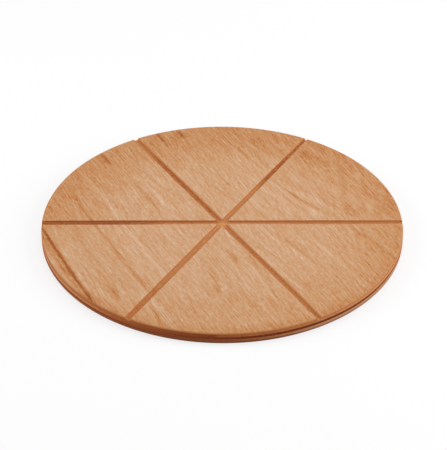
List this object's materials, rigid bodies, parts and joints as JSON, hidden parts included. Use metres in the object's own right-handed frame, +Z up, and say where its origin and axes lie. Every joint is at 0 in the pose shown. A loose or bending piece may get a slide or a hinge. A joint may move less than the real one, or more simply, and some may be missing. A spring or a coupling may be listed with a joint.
{
  "type": "pizza serving board",
  "caption": "Round beech plywood board for serving pizza, rounded over at the rim, with straight round-nosed grooves that cross at the centre and mark equal slices to cut along.",
  "frame": {"origin": "middle of the underside, on the surface that the board lies on", "axes": "+Z up, out of the serving face; +X along one groove; the other grooves follow at sixty-degree steps about Z"},
  "size_m": [0.3, 0.3, 0.01],
  "materials": {
    "face_veneer": "oiled beech, satin",
    "cross_veneer": "oiled beech, mostly end grain at the rim",
    "core_veneer": "oiled beech",
    "glue": "cured resin film"
  },
  "bodies": {
    "root": {"top_slice_1": "face_veneer", "top_slice_2": "face_veneer", "top_slice_3": "face_veneer", "top_slice_4": "face_veneer", "top_slice_5": "face_veneer", "top_slice_6": "face_veneer", "upper_cross_ply": "cross_veneer", "core_ply": "core_veneer", "lower_cross_ply": "cross_veneer", "bottom_face_ply": "face_veneer", "glue_line_1": "glue", "glue_line_2": "glue", "glue_line_3": "glue", "glue_line_4": "glue"}
  },
  "joints": []
}
